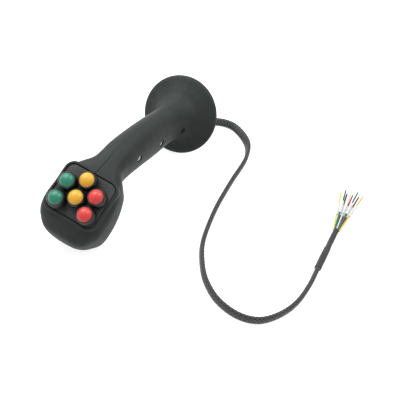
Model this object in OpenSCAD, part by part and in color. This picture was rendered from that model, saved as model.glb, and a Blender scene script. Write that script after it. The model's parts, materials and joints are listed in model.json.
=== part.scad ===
// Industrial joystick grip with six push buttons, lying on a bench with its cable.
// Millimetres. +Z is up from the bench; the grip's head points to -Y.

/* [Flange] */
// Diameter of the round flange
flange_d = 76; // [70:1:90]
// Thickness of the flange's rim
flange_t = 2.5; // [2:0.25:4]
// Thickness of the cover that closes the flange from below
cover_t = 2; // [1.5:0.25:2.5]
// Width of the flange's rim around the cover
cover_rim = 4; // [3:0.5:6]

/* [Grip] */
// Width of the grip
grip_w = 29; // [27:0.5:34]
// Depth of the grip behind its centre line
grip_back = 18.5; // [17:0.5:21]
// Depth of the grip in front of its centre line
grip_front = 18.5; // [17:0.5:21]
// Length from the flange to the middle of the neck's bend
grip_len = 124; // [115:1:140]
// Lean of the grip from the flange's axis, in degrees
grip_lean = 15; // [10:1:18]
// Wall of the moulded shells
wall = 2.6; // [2:0.1:3]

/* [Head] */
// Width of the head
head_w = 59; // [56:0.5:66]
// Height of the head's back above its centre line
head_back = 14; // [13:0.5:16]
// Depth of the head in front of its centre line
head_front = 32; // [30:0.5:38]
// Length of the head from the middle of the neck's bend
head_len = 71.5; // [68:0.5:80]
// Tilt of the head from the flange's axis, in degrees
head_tilt = 58; // [52:1:64]
// Radius of the neck's bend
bend_r = 50; // [40:1:60]

/* [Face plate] */
// Margin of the face plate beside the buttons
side_margin = 1; // [0.5:0.25:1.5]
// Margin of the face plate before and behind the buttons
end_margin = 0; // [0:0.25:0.75]
// Thickness of the face plate
plate_t = 2.5; // [2:0.25:3]
// Corner radius of the face plate
plate_r = 6; // [4:0.5:8]
// Gap around the face plate
plate_gap = 0.3; // [0.2:0.05:0.5]
// How deep the face plate lies below the rim
plate_sink = 0.8; // [0.4:0.1:1.2]
// Width of the raised rim around the face plate
rim_w = 3; // [2.5:0.25:3.5]

/* [Buttons] */
// Distance between neighbouring buttons
button_pitch = 16.2; // [16:0.1:17]
// Outer diameter of a button's collar
collar_d = 15; // [14:0.25:15.5]
// Height of a button's collar above the face plate
collar_h = 7.5; // [6:0.25:9]
// Diameter of a button's cap
cap_d = 11; // [10:0.25:11.5]
// Height of the cap's dome above the collar
dome_h = 3.2; // [2.8:0.1:4]
// Travel of a button
travel = 2; // [1.5:0.1:2.4]
// Diameter of a button's threaded bush
bush_d = 10; // [9.5:0.25:10.5]
// Length of a button below the face plate
body_l = 15; // [13:0.5:16]
// Running clearance of moving pieces
clearance = 0.2; // [0.15:0.05:0.25]

/* [Lever socket] */
// Tapped hole for the lever's stud
stud_bore = 8.5; // [6.8:0.1:10.2]
// Outer diameter of the metal socket
socket_d = 15; // [14:0.5:16]
// Length of the metal socket
socket_l = 14; // [12:0.5:15]

/* [Fasteners] */
// Diameter of the shell screws' shank
screw_d = 3; // [2.5:0.1:3.5]
// Diameter of the screw heads
screw_head_d = 5.5; // [5:0.1:6]
// Number of cover screws
cover_screws = 4; // [4:2:6]

/* [Cable] */
// Width of the flat braided sleeve
sleeve_w = 9; // [8:0.5:10]
// Thickness of the braided sleeve
sleeve_t = 5; // [4:0.25:5]
// Diameter of a lead
lead_d = 1.6; // [1.4:0.1:2]
// Diameter of a marker sleeve on a lead
marker_d = 2.6; // [2.4:0.1:3]
// Diameter of a lead's bare end
strand_d = 0.9; // [0.8:0.1:1.2]

/* [Hidden] */
BUTTONS = ["green_1", "green_2", "yellow_1", "yellow_2", "red_1", "red_2"];
LEADS = ["yellow", "green", "black", "white", "red", "blue", "brown", "orange"];

// ---- centre line of the grip, in the plane of symmetry -------------------------------------
// The grip is drawn upright first: the flange's axis is Z, the grip leans towards -Y.
FLANGE_R = flange_d / 2;
BEND_TURN = head_tilt - grip_lean;
BEND_TANGENT = bend_r * tan(BEND_TURN / 2);
BASE_START = 6;
BASE_ARC = 16;
// The centre line runs on past the head's end.
SPINE_SPARE = 40;
SPINE = [[BASE_START, 0],
         [BASE_ARC, grip_lean],
         [grip_len - BEND_TANGENT - BASE_START - BASE_ARC, 0],
         [bend_r * BEND_TURN * PI / 180, BEND_TURN],
         [head_len + SPINE_SPARE, 0]];
// The grip's root sits a little in front of the flange's centre.
ROOT_SHIFT = 3.5;
ROOT_BLEND = [4, 20];

function forward(p, a, len, turn) =
    turn == 0 ? p + len * [-sin(a), cos(a)]
              : p + len * 180 / (PI * turn) * [cos(a + turn) - cos(a), sin(a + turn) - sin(a)];

// [y, z, lean] of the centre line at the length s from the flange's underside
function spine_raw(s, i = 0, p = [0, 0], a = 0) =
    let (len = SPINE[i][0], turn = SPINE[i][1], last = i == len(SPINE) - 1)
    s <= len || last
        ? let (part = turn * s / len, q = forward(p, a, s, part)) [q.x, q.y, a + part]
        : spine_raw(s - len, i + 1, forward(p, a, len, turn), a + turn);

function spine(s) =
    let (q = spine_raw(s), k = min(1, max(0, (s - ROOT_BLEND[0]) / (ROOT_BLEND[1] - ROOT_BLEND[0]))))
    [q[0] - ROOT_SHIFT * k, q[1], q[2]];

// ---- sections of the moulded body -----------------------------------------------------------
// Each row: place on the centre line, half width, depth behind, depth in front,
// squareness behind, squareness in front. The flange flares into the grip first.
HALF = grip_w / 2;
ROOT_R = HALF + 1.5;
FLARE = [[1.7, 0.955], [3, 0.84], [5.5, 0.5], [9.5, 0.2]];
HEAD_HALF = head_w / 2;
HEAD_END = grip_len + head_len;
// Length of the head's front, from where its sides run straight
HEAD_NOSE = 39.5;
STATIONS = concat(
    [[0, FLANGE_R, FLANGE_R, FLANGE_R, 2, 2],
     [flange_t, FLANGE_R, FLANGE_R, FLANGE_R, 2, 2]],
    [for (f = FLARE) let (r = ROOT_R + 1 + (FLANGE_R - ROOT_R - 1) * f[1]) [flange_t + f[0], r, r, r, 2, 2]],
    [[20, ROOT_R, grip_back - 0.5, grip_front - 0.5, 2.1, 2.1],
     [0.32 * grip_len, HALF, grip_back, grip_front - 1, 2.2, 2.2],
     [0.5 * grip_len, HALF, grip_back + 0.5, grip_front, 2.2, 2.2],
     [0.73 * grip_len, HALF, grip_back - 1.5, grip_front + 1, 2.2, 2.2],
     [grip_len - 16, HALF - 0.5, grip_back - 4.5, grip_front + 3.5, 2.3, 2.2],
     [grip_len - 6, HALF - 1, head_back - 2, head_front - 7.5, 2.5, 2.2],
     [grip_len + 2, HALF + 0.5, head_back - 3, head_front - 5.5, 2.8, 2.2],
     [grip_len + 10, HEAD_HALF - 8, head_back - 1.5, head_front - 4.5, 3, 2.2],
     [grip_len + 18, HEAD_HALF - 3.5, head_back - 0.5, head_front - 4, 4, 2.2],
     [HEAD_END - HEAD_NOSE, HEAD_HALF - 1, head_back, head_front - 2.5, 4, 2.2],
     [HEAD_END - 24.5, HEAD_HALF, head_back, head_front, 4, 2.2],
     [HEAD_END - 13.5, HEAD_HALF - 2, head_back - 1, head_front - 1, 3.2, 2.2],
     [HEAD_END - 6.5, HEAD_HALF - 8.5, head_back - 4, head_front - 7, 2.6, 2.2],
     [HEAD_END - 2, HEAD_HALF - 17, head_back - 8, head_front - 15, 2.2, 2.2],
     [HEAD_END - 0.3, HEAD_HALF - 23, head_back - 11, head_front - 23, 2, 2],
     [HEAD_END, HEAD_HALF - 27, head_back - 12.7, head_front - 28, 2, 2]]);

function catmull(a, b, c, d, t) =
    0.5 * ((2 * b) + (c - a) * t + (2 * a - 5 * b + 4 * c - d) * t * t
           + (3 * b - a - 3 * c + d) * t * t * t);

// a smooth run through rows of numbers, with n steps from row to row
function smooth(rows, n) =
    let (m = len(rows) - 1)
    concat([for (i = [0 : m - 1], j = [0 : n - 1])
                catmull(rows[max(i - 1, 0)], rows[i], rows[i + 1], rows[min(i + 2, m)], j / n)],
           [rows[m]]);

function power(v, e) = sign(v) * pow(abs(v), e);

// half of a section, from its front to its back on the side x > 0, as points in space
function half_ring(row, steps, inset = 0, x0 = 0) =
    let (c = spine(row[0]), a = c[2])
    [for (i = [0 : steps])
        let (t = -90 + 180 * i / steps,
             e = t < 0 ? row[5] : row[4],
             depth = (t < 0 ? row[3] : row[2]) - inset,
             x = (row[1] - inset) * pow(max(cos(t), 0), 2 / e),
             d = depth * power(sin(t), 2 / e))
        [i == 0 || i == steps ? x0 : x, c[0] + d * cos(a), c[1] + d * sin(a)]];

// closed solid through rings of the same number of points
module loft(rings) {
    n = len(rings[0]);
    m = len(rings);
    points = [for (r = rings, p = r) p];
    sides = [for (i = [0 : m - 2], j = [0 : n - 1])
        [i * n + j, (i + 1) * n + j, (i + 1) * n + (j + 1) % n, i * n + (j + 1) % n]];
    ends = [[for (j = [0 : n - 1]) j], [for (j = [n - 1 : -1 : 0]) (m - 1) * n + j]];
    polyhedron(points, concat(sides, ends), convexity = 8);
}

RING_STEPS = 22;
CAVITY_STEPS = 12;
CAVITY_START = 9;
CAVITY_OVERLAP = 1;

// right half of the moulded body, solid
module body_half() {
    loft([for (r = smooth(STATIONS, 2)) half_ring(r, RING_STEPS)]);
}

// hollow of the right half; it reaches past the parting plane, so that both halves stay open
module cavity_half() {
    rows = [for (r = smooth(STATIONS, 1)) if (r[0] > CAVITY_START && r[0] < HEAD_END - 6) r];
    first = concat([CAVITY_START], [for (i = [1 : 5]) rows[0][i]]);
    loft([for (r = concat([first], rows)) half_ring(r, CAVITY_STEPS, wall, -CAVITY_OVERLAP)]);
}

// ---- places -----------------------------------------------------------------------------------
// Distance of the face plate's middle from the middle of the neck's bend
PLATE_FROM_BEND = 34.3;
PLATE_S = grip_len + PLATE_FROM_BEND;
PLATE_LIFT = head_back + 0.35;
PLATE_PLACE = spine(PLATE_S);

// puts a shape, drawn on the rim's flat top, in its place on the head; +Y points to the grip
module on_head() {
    translate([0, PLATE_PLACE[0], PLATE_PLACE[1]])
        rotate([head_tilt - 90, 0, 0])
            translate([0, 0, PLATE_LIFT])
                children();
}

// six of the seven places of a hexagonal pattern; the one farthest from the grip stays empty
ROW_X = button_pitch * sin(60);
SPOTS = [[-ROW_X, button_pitch / 2], [-ROW_X, -button_pitch / 2],
         [0, button_pitch], [0, 0],
         [ROW_X, button_pitch / 2], [ROW_X, -button_pitch / 2]];
// The pattern lies in the middle of the plate.
SPOTS_SHIFT = -button_pitch / 4;
PLATE_W = 2 * ROW_X + collar_d + 2 * side_margin;
PLATE_L = 1.5 * button_pitch + collar_d + 2 * end_margin;
PLATE_TOP = -plate_sink;
PLATE_UNDER = PLATE_TOP - plate_t;

COLORS = ["seagreen", "seagreen", "gold", "gold", "crimson", "crimson"];

module at_button(i) {
    on_head()
        translate([SPOTS[i].x, SPOTS[i].y + SPOTS_SHIFT, PLATE_TOP])
            children();
}

// The grip lies on its flange's rim and on the front of its head.
REST_RIM = [-FLANGE_R, 0];
HEAD_FRONT = [for (r = smooth(STATIONS, 2)) if (r[0] > grip_len - 20)
    let (c = spine(r[0])) [c[0] - r[3] * cos(c[2]), c[1] - r[3] * sin(c[2])]];
LIE = max([for (p = HEAD_FRONT) atan2(p.y - REST_RIM.y, p.x - REST_RIM.x)]) - 90;
LIE_LIFT = FLANGE_R * cos(LIE);
// Places along the bench of all points of the body; the origin lies in the middle of its length.
LIE_ALONG = [for (r = smooth(STATIONS, 2), p = half_ring(r, RING_STEPS)) p.y * sin(LIE) - p.z * cos(LIE)];
LIE_SHIFT = -(min(LIE_ALONG) + max(LIE_ALONG)) / 2;

// lays a shape, drawn upright, on the bench
module lay() {
    translate([0, LIE_SHIFT, LIE_LIFT])
        rotate([90 - LIE, 0, 0])
            children();
}

// ---- shells -----------------------------------------------------------------------------------
// Screw places: [length on the centre line, shift to the front]
SCREW_SPOTS = [[21.5, 2.5], [61.5, 0.5], [99.5, -0.5]];
SCREW_REACH = HALF - 1.2;
HEAD_H = 2;
HEAD_SEAT = SCREW_REACH - HEAD_H;
THREAD_L = 9;
BOSS_R = 4.2;
PILOT = 0.15;
HOLE_CLEAR = 0.2;

module at_screws() {
    for (p = SCREW_SPOTS) {
        c = spine(p[0]);
        translate([0, c[0] - p[1] * cos(c[2]), c[1] - p[1] * sin(c[2])])
            rotate([0, 90, 0])
                children();
    }
}

COVER_R = FLANGE_R - cover_rim;
COVER_GAP = 0.25;
CHANNEL_R = ROOT_R + 1;
// The cover's screws stand midway between the cable's channel and the cover's edge.
COVER_SCREW_R = (CHANNEL_R + COVER_R) / 2;
COVER_SCREW_L = 7;

module at_cover_screws(side = 0) {
    for (i = [0 : cover_screws - 1]) {
        a = (i + 0.5) * 360 / cover_screws;
        if (side == 0 || sign(cos(a)) == side)
            rotate([0, 0, a])
                translate([COVER_SCREW_R, 0, 0])
                    children();
    }
}

module rounded(w, l, r) {
    square([w - 2 * r, l], center = true);
    square([w, l - 2 * r], center = true);
    for (x = [-1, 1], y = [-1, 1])
        translate([x * (w / 2 - r), y * (l / 2 - r)])
            circle(r, $fn = 48);
}

RIM_DEPTH = 9;
RIM_EDGE = 0.8;

// raised rim around the face plate, with a bevelled edge
module rim_block() {
    w = PLATE_W + 2 * rim_w;
    l = PLATE_L + 2 * rim_w;
    on_head()
        translate([0, 0, -RIM_DEPTH]) {
            linear_extrude(RIM_DEPTH - RIM_EDGE)
                rounded(w, l, plate_r + rim_w);
            linear_extrude(RIM_DEPTH)
                rounded(w - 2 * RIM_EDGE, l - 2 * RIM_EDGE, plate_r + rim_w - RIM_EDGE);
        }
}

LEDGE = 1.2;
POCKET_DEPTH = 8;

// the face plate's seat, open to the hollow of the head
module plate_pocket() {
    on_head() {
        translate([0, 0, PLATE_UNDER])
            linear_extrude(plate_t + 5)
                rounded(PLATE_W + 2 * plate_gap, PLATE_L + 2 * plate_gap, plate_r + plate_gap);
        translate([0, 0, PLATE_UNDER - POCKET_DEPTH])
            linear_extrude(POCKET_DEPTH + 1)
                rounded(PLATE_W - 2 * LEDGE, PLATE_L - 2 * LEDGE, plate_r - LEDGE);
    }
}

// all of the space with x > 0 that the joystick can reach
SPACE = 300;

module half_space() {
    translate([0, -SPACE, -SPACE])
        cube([SPACE, 2 * SPACE, 2 * SPACE]);
}

// shell on the side x > 0; with_head = true for the shell that holds the screw heads
module shell_half(with_head) {
    side = with_head ? 1 : -1;
    difference() {
        union() {
            difference() {
                union() {
                    body_half();
                    intersection() {
                        rim_block();
                        half_space();
                    }
                }
                cavity_half();
                plate_pocket();
                translate([0, 0, -1])
                    cylinder(h = cover_t + 1 + clearance / 2, r = COVER_R + COVER_GAP, $fn = 96);
                cylinder(h = CAVITY_START + 1, r = CHANNEL_R, $fn = 64);
            }
            at_screws()
                cylinder(h = HALF - wall / 2, r = BOSS_R, $fn = 32);
        }
        if (with_head)
            at_screws() {
                translate([0, 0, -1])
                    cylinder(h = grip_w, r = screw_d / 2 + HOLE_CLEAR, $fn = 32);
                translate([0, 0, HEAD_SEAT])
                    cylinder(h = grip_w, r = screw_head_d / 2 + HOLE_CLEAR, $fn = 32);
            }
        else
            at_screws()
                translate([0, 0, -1])
                    cylinder(h = THREAD_L + 2, r = screw_d / 2, $fn = 32);
        at_cover_screws()
            cylinder(h = COVER_SCREW_L, r = screw_d / 2, $fn = 32);
    }
}

module right_shell() {
    color("#3a3d3c")
        lay()
            shell_half(true);
}

module left_shell() {
    color("#3a3d3c")
        lay()
            mirror([1, 0, 0])
                shell_half(false);
}

// pan-head screw, drawn with the underside of its head at z = 0 and its shank down
module screw(len, head_h) {
    difference() {
        cylinder(h = head_h, r = screw_head_d / 2, $fn = 32);
        translate([0, 0, head_h - 1.1])
            cylinder(h = 2, r = screw_d / 2 - 0.2, $fn = 6);
    }
    translate([0, 0, -len])
        cylinder(h = len, r = screw_d / 2 - PILOT, $fn = 32);
}

module shell_screws() {
    color("silver")
        lay()
            at_screws()
                translate([0, 0, HEAD_SEAT])
                    screw(HEAD_SEAT + THREAD_L, HEAD_H);
}

// ---- face plate and buttons --------------------------------------------------------------------
BUSH_R = bush_d / 2;

module face_plate() {
    color("#444646")
        lay()
            on_head()
                difference() {
                    translate([0, 0, PLATE_UNDER])
                        linear_extrude(plate_t)
                            rounded(PLATE_W, PLATE_L, plate_r);
                    for (p = SPOTS)
                        translate([p.x, p.y + SPOTS_SHIFT, PLATE_UNDER - 1])
                            cylinder(h = plate_t + 2, r = BUSH_R + clearance, $fn = 48);
                }
}

COLLAR_R = collar_d / 2;
CAP_R = cap_d / 2;
SEAL_W = 0.5;
SEAL_H = 0.8;
WELL_R = CAP_R + SEAL_W + 0.1;
SKIRT_H = 4;
WELL_FLOOR = collar_h - SKIRT_H - travel - 0.3;
STEM_R = 2;
STEM_L = SKIRT_H + travel + 4;
SPRING_WIRE = 0.5;
SPRING_R = 3.2;
SPRING_TURNS = 4;
NUT_T = 2.5;
NUT_W = 1.7;
TERMINAL = [1, 0.5, 3];

// black collar, threaded bush and switch housing of one button, z = 0 on the face plate
module button_body() {
    difference() {
        rotate_extrude($fn = 64)
            polygon([[0, -body_l], [BUSH_R - 1, -body_l], [BUSH_R - 0.6, -body_l + 0.4],
                     [BUSH_R - 0.6, -plate_t - NUT_T - 2], [BUSH_R, -plate_t - NUT_T - 1.4],
                     [BUSH_R, 0], [COLLAR_R, 0], [COLLAR_R, 1.2], [COLLAR_R - 0.35, 1.6],
                     [COLLAR_R - 0.35, collar_h - 0.9], [COLLAR_R - 1.1, collar_h], [0, collar_h]]);
        translate([0, 0, WELL_FLOOR])
            cylinder(h = collar_h, r = WELL_R, $fn = 64);
        translate([0, 0, collar_h - STEM_L - travel - clearance])
            cylinder(h = STEM_L + travel, r = STEM_R + clearance, $fn = 32);
        translate([0, 0, WELL_FLOOR - SPRING_ROOM])
            cylinder(h = SPRING_ROOM + 1, r = SPRING_R + SPRING_WIRE / 2 + clearance, $fn = 32);
    }
}

// depth of the spring's well below the floor under the cap
SPRING_ROOM = 3;
DOME_BALL = (CAP_R * CAP_R + dome_h * dome_h) / (2 * dome_h);

// coloured cap with its skirt and guide stem
module button_cap() {
    translate([0, 0, collar_h]) {
        intersection() {
            translate([0, 0, dome_h - DOME_BALL])
                sphere(DOME_BALL, $fn = 96);
            cylinder(h = dome_h + 1, r = CAP_R, $fn = 64);
        }
        translate([0, 0, -SKIRT_H])
            cylinder(h = SKIRT_H, r = CAP_R, $fn = 64);
        translate([0, 0, -STEM_L])
            cylinder(h = STEM_L, r = STEM_R, $fn = 32);
    }
}

// return spring around the stem, hanging under the cap
module button_spring() {
    top = collar_h - SKIRT_H;
    height = top - (WELL_FLOOR - SPRING_ROOM) - travel - 0.1 - SPRING_WIRE;
    steps = 10 * SPRING_TURNS;
    sides = 5;
    loft([for (i = [0 : steps])
        let (a = 360 * SPRING_TURNS * i / steps,
             z = top - SPRING_WIRE / 2 - height * i / steps)
        [for (j = [0 : sides - 1])
            let (b = 360 * j / sides, r = SPRING_R + SPRING_WIRE / 2 * cos(b))
            [r * cos(a), -r * sin(a), z + SPRING_WIRE / 2 * sin(b)]]]);
}

module button_nut() {
    translate([0, 0, -plate_t - NUT_T])
        difference() {
            cylinder(h = NUT_T, r = BUSH_R + NUT_W, $fn = 6);
            translate([0, 0, -1])
                cylinder(h = NUT_T + 2, r = BUSH_R, $fn = 64);
        }
}

module button_seal() {
    translate([0, 0, collar_h - SEAL_H])
        difference() {
            cylinder(h = SEAL_H + 0.1, r = WELL_R, $fn = 64);
            translate([0, 0, -1])
                cylinder(h = SEAL_H + 2, r = CAP_R + 0.1, $fn = 64);
        }
}

module button_seals() {
    color("gray")
        lay()
            for (i = [0 : len(SPOTS) - 1])
                at_button(i)
                    button_seal();
}

module button_terminals() {
    color("goldenrod")
        lay()
            for (i = [0 : len(SPOTS) - 1], x = [-2.5, 2.5])
                at_button(i)
                    translate([x - TERMINAL.x / 2, -TERMINAL.y / 2, -body_l - TERMINAL.z])
                        cube(TERMINAL);
}

// ---- underside of the flange ------------------------------------------------------------------
SOCKET_R = socket_d / 2;
GROMMET_Y = -12.5;
GROMMET_WALL = 1.2;
GROMMET_OUT = 2;
CABLE_GAP = 0.4;

module slot(w, t) {
    square([w - t, t], center = true);
    for (x = [-1, 1])
        translate([x * (w - t) / 2, 0])
            circle(t / 2, $fn = 32);
}

GROMMET_W = sleeve_w + 2 * GROMMET_WALL;
GROMMET_T = sleeve_t + 2 * GROMMET_WALL;

module base_cover() {
    color("#303232")
        lay()
            difference() {
                cylinder(h = cover_t, r = COVER_R, $fn = 96);
                translate([0, 0, -1])
                    cylinder(h = cover_t + 2, r = stud_bore / 2 + 1, $fn = 48);
                translate([0, GROMMET_Y, -1])
                    linear_extrude(cover_t + 2)
                        slot(GROMMET_W, GROMMET_T);
                at_cover_screws() {
                    translate([0, 0, -1])
                        cylinder(h = cover_t + 2, r = screw_d / 2 + HOLE_CLEAR, $fn = 32);
                    translate([0, 0, -1])
                        cylinder(h = 2, r = screw_head_d / 2 + HOLE_CLEAR, $fn = 32);
                }
            }
}

module base_screws() {
    color("silver")
        lay()
            at_cover_screws()
                translate([0, 0, 1])
                    rotate([180, 0, 0])
                        screw(COVER_SCREW_L - 2, 1);
}

module lever_socket() {
    color("lightsteelblue")
        lay()
            translate([0, 0, cover_t])
                difference() {
                    cylinder(h = socket_l, r = SOCKET_R, $fn = 6);
                    translate([0, 0, -1])
                        cylinder(h = socket_l + 2, r = stud_bore / 2, $fn = 64);
                }
}

module cable_grommet() {
    color("#202020")
        lay()
            translate([0, GROMMET_Y, -GROMMET_OUT])
                difference() {
                    linear_extrude(cover_t + GROMMET_OUT)
                        slot(GROMMET_W, GROMMET_T);
                    translate([0, 0, -1])
                        linear_extrude(GROMMET_OUT + cover_t + 2)
                            slot(sleeve_w + CABLE_GAP, sleeve_t + CABLE_GAP);
                }
}

// ---- swept tubes ------------------------------------------------------------------------------
function unit(v) = v / norm(v);

// [centre, across, up] along a smooth route; a route's points are [x, y, z] or [x, y, z, turn]
function frames(route, n) =
    let (path = smooth(route, n), m = len(path) - 1)
    [for (i = [0 : m])
        let (p = path[i], a = path[max(i - 1, 0)], b = path[min(i + 1, m)],
             t = unit([b[0] - a[0], b[1] - a[1], b[2] - a[2]]),
             side = unit(cross(t, [0, 0, 1])), up = cross(side, t),
             k = len(p) > 3 ? p[3] : 0)
        [[p[0], p[1], p[2]], side * cos(k) + up * sin(k), up * cos(k) - side * sin(k)]];

// tube of the width w and thickness t through frames
module tube_through(fs, w, t, sides) {
    loft([for (f = fs)
        [for (j = [0 : sides - 1])
            let (a = 360 * j / sides)
            f[0] - f[1] * (w / 2 * cos(a)) + f[2] * (t / 2 * sin(a))]]);
}

module tube(route, w, t, sides, n) {
    tube_through(frames(route, n), w, t, sides);
}

HARNESS_R = 2.4;
HARNESS_FRONT = 9.5;
HARNESS_SPOTS = [30, 45, 60, 80, 98, 110, 122];
HARNESS_ROUTE = concat(
    [[0, GROMMET_Y, CABLE_GAP], [0, GROMMET_Y - 1, 7], [0, GROMMET_Y - 3, 20]],
    [for (s = HARNESS_SPOTS) let (c = spine(s))
        [0, c[0] - HARNESS_FRONT * cos(c[2]), c[1] - HARNESS_FRONT * sin(c[2])]]);

// the wires inside the grip, from the grommet to the head
module inner_harness() {
    color("#202020")
        lay()
            tube(HARNESS_ROUTE, 2 * HARNESS_R, 2 * HARNESS_R, 8, 2);
}

// ---- cable on the bench -----------------------------------------------------------------------
// Route of the braided sleeve: [x, y, z, turn of its flat side]
SLEEVE_ROUTE = [
    [0, 79.5, 23, 0], [0, 90, 18, 0], [1, 102, 12, 0], [5, 115, 7, 0], [13, 129, 4, 0], [25, 139, 3, 0],
    [37, 142, 3, 0], [49, 138, 3, 0], [60, 130, 3, 5], [67, 120, 4, 35], [72, 105, 5, 80], [74, 87, 5, 90],
    [75, 71, 5, 90], [77, 51, 5, 90], [80, 27, 5, 90], [85, 2, 5, 90], [91, -19, 5, 80],
    [100, -36, 4.5, 55], [112, -51, 4, 30], [129, -62, 3, 10], [149, -65, 3, 0], [166, -59, 3, 0],
    [178, -44, 3, 0], [185.5, -24, 3.5, 0], [187.8, 0, 4, 0], [187, 22, 4, 0]];
SHRINK_1_ROUTE = [[187, 22, 4, 0], [186.5, 35.5, 4, 0], [186, 49, 4, 0]];
SHRINK_2_ROUTE = [[186, 49, 4, 0], [185.5, 62.5, 4, 0], [185, 76, 4, 0]];

module cable_sleeve() {
    color("#2b2d2d")
        tube(SLEEVE_ROUTE, sleeve_w, sleeve_t, 12, 2);
}

module cable_shrink_1() {
    color("#333535")
        tube(SHRINK_1_ROUTE, sleeve_w, sleeve_t + 2, 12, 1);
}

module cable_shrink_2() {
    color("#333535")
        tube(SHRINK_2_ROUTE, sleeve_w - 1.5, sleeve_t + 1, 12, 1);
}

// Each lead starts in the second shrink tube and fans out over the bench:
// [start across, start height, end x, end y]
LEAD_FAN = [[-2.6, 3, 171, 131], [-1.9, 5, 174, 138], [-0.9, 2.6, 177, 133], [-0.3, 5, 179.5, 141],
            [0.7, 3, 182.5, 135], [1.3, 5, 185.5, 143], [2.2, 2.8, 188.5, 137], [2.9, 4.6, 192, 141]];
LEAD_COLORS = ["yellow", "green", "#202020", "white", "red", "royalblue", "brown", "orange"];
LEAD_START = [185, 76.4];
// Every other lead lies on its neighbours, as high as these, before it comes down to the bench.
LEAD_OVER = [3.6, 3.2];
END_L = 6;
LEAD_STEPS = 4;
// steps along a lead at which its marker sleeve starts and ends, and at which the bare end starts
MARKER_FROM = 8;
MARKER_TO = 12;
BARE_FROM = 16;

// the point at the share t of the way from a to b, at the height z
function along(a, b, t, z) = [a.x + (b.x - a.x) * t, a.y + (b.y - a.y) * t, z];

function lead_frames(i) =
    let (f = LEAD_FAN[i], low = marker_d / 2, over = i % 2 == 1,
         a = [LEAD_START.x + f[0], LEAD_START.y, f[1]], b = [f[2], f[3], low])
    frames([a, along(a, b, 0.15, f[1] - 0.3),
            along(a, b, 0.4, over ? LEAD_OVER[0] : low),
            along(a, b, 0.68, over ? LEAD_OVER[1] : low),
            b, along(a, b, 1 + END_L / norm(b - a), low)], LEAD_STEPS);

function part_of(list, from, to) = [for (k = [from : to]) list[k]];

// a lead shows on both sides of its marker sleeve
module lead(i) {
    fs = lead_frames(i);
    color(LEAD_COLORS[i]) {
        tube_through(part_of(fs, 0, MARKER_FROM), lead_d, lead_d, 8);
        tube_through(part_of(fs, MARKER_TO, BARE_FROM), lead_d, lead_d, 8);
    }
}

module lead_ends() {
    color("peru")
        for (i = [0 : len(LEADS) - 1])
            tube_through(part_of(lead_frames(i), BARE_FROM, len(lead_frames(i)) - 1), strand_d, strand_d, 6);
}

module lead_markers() {
    color("white")
        for (i = [0 : len(LEADS) - 1])
            tube_through(part_of(lead_frames(i), MARKER_FROM, MARKER_TO), marker_d, marker_d, 8);
}

left_shell();
right_shell();
shell_screws();
face_plate();
button_seals();
button_terminals();
base_cover();
base_screws();
lever_socket();
cable_grommet();
inner_harness();
cable_sleeve();
cable_shrink_1();
cable_shrink_2();
lead_markers();
lead_ends();
for (i = [0 : len(BUTTONS) - 1]) {
    color("#1c1c1c") lay() at_button(i) button_body();
    color(COLORS[i]) lay() at_button(i) button_cap();
    color("silver") lay() at_button(i) button_spring();
    color("silver") lay() at_button(i) button_nut();
}
for (i = [0 : len(LEADS) - 1])
    lead(i);
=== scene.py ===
"""Industrial joystick grip with six push buttons, lying on a bench with its cable.

Metres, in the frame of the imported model: +Z is up from the bench, the grip's head points to -Y.
"""
import json
import math

import bmesh
import bpy
import numpy as np
from mathutils import Matrix, Vector


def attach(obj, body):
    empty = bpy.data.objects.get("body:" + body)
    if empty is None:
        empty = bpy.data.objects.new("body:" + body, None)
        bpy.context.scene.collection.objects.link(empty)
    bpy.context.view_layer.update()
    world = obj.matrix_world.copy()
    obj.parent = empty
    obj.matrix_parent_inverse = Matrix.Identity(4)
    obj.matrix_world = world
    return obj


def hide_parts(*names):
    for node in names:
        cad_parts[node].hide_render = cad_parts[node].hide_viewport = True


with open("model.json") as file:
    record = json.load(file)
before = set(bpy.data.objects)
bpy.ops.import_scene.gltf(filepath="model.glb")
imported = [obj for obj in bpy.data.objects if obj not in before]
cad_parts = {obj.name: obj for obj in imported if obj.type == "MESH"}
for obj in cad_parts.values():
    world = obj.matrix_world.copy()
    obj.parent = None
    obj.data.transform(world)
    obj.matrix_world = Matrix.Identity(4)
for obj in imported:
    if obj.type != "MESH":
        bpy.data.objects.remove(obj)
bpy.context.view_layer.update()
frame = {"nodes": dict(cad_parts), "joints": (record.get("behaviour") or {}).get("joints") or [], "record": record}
RECORD = frame["record"]
NODES = frame["nodes"]
BODY_OF = {node: body for body, nodes in RECORD["behaviour"]["bodies"].items() for node in nodes}
BUTTONS = ["green_1", "green_2", "yellow_1", "yellow_2", "red_1", "red_2"]
MM = 0.001
SNAP = 1e-6               # points closer than this are one point
WHITE = (1, 1, 1, 1)


# ---- camera ------------------------------------------------------------------------------------
CAMERA_PLACE = Vector((0.184667, -0.344155, 0.406708))
CAMERA_AIM = Vector((0.062057, 0.028667, 0))
CAMERA_ROLL = math.radians(15.874)
CAMERA_LENS = 54
CAMERA_SENSOR = 36


def looking(place, aim):
    """The frame at a place whose -Z points to the aim."""
    turn = (aim - place).to_track_quat("-Z", "Y").to_matrix().to_4x4()
    return Matrix.Translation(place) @ turn


def make_camera():
    """The scene's camera, at the photograph's viewing angle."""
    data = bpy.data.cameras.new("camera")
    data.lens = CAMERA_LENS
    data.sensor_width = CAMERA_SENSOR
    camera = bpy.data.objects.new("camera", data)
    camera.matrix_world = looking(CAMERA_PLACE, CAMERA_AIM) @ Matrix.Rotation(CAMERA_ROLL, 4, "Z")
    bpy.context.scene.collection.objects.link(camera)
    bpy.context.scene.camera = camera


make_camera()


# ---- helpers -----------------------------------------------------------------------------------
def linear(r, g, b):
    """The linear colour of an 8-bit sRGB colour."""
    def one(v):
        v = v / 255
        return v / 12.92 if v <= 0.04045 else ((v + 0.055) / 1.055) ** 2.4
    return (one(r), one(g), one(b), 1)


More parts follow.
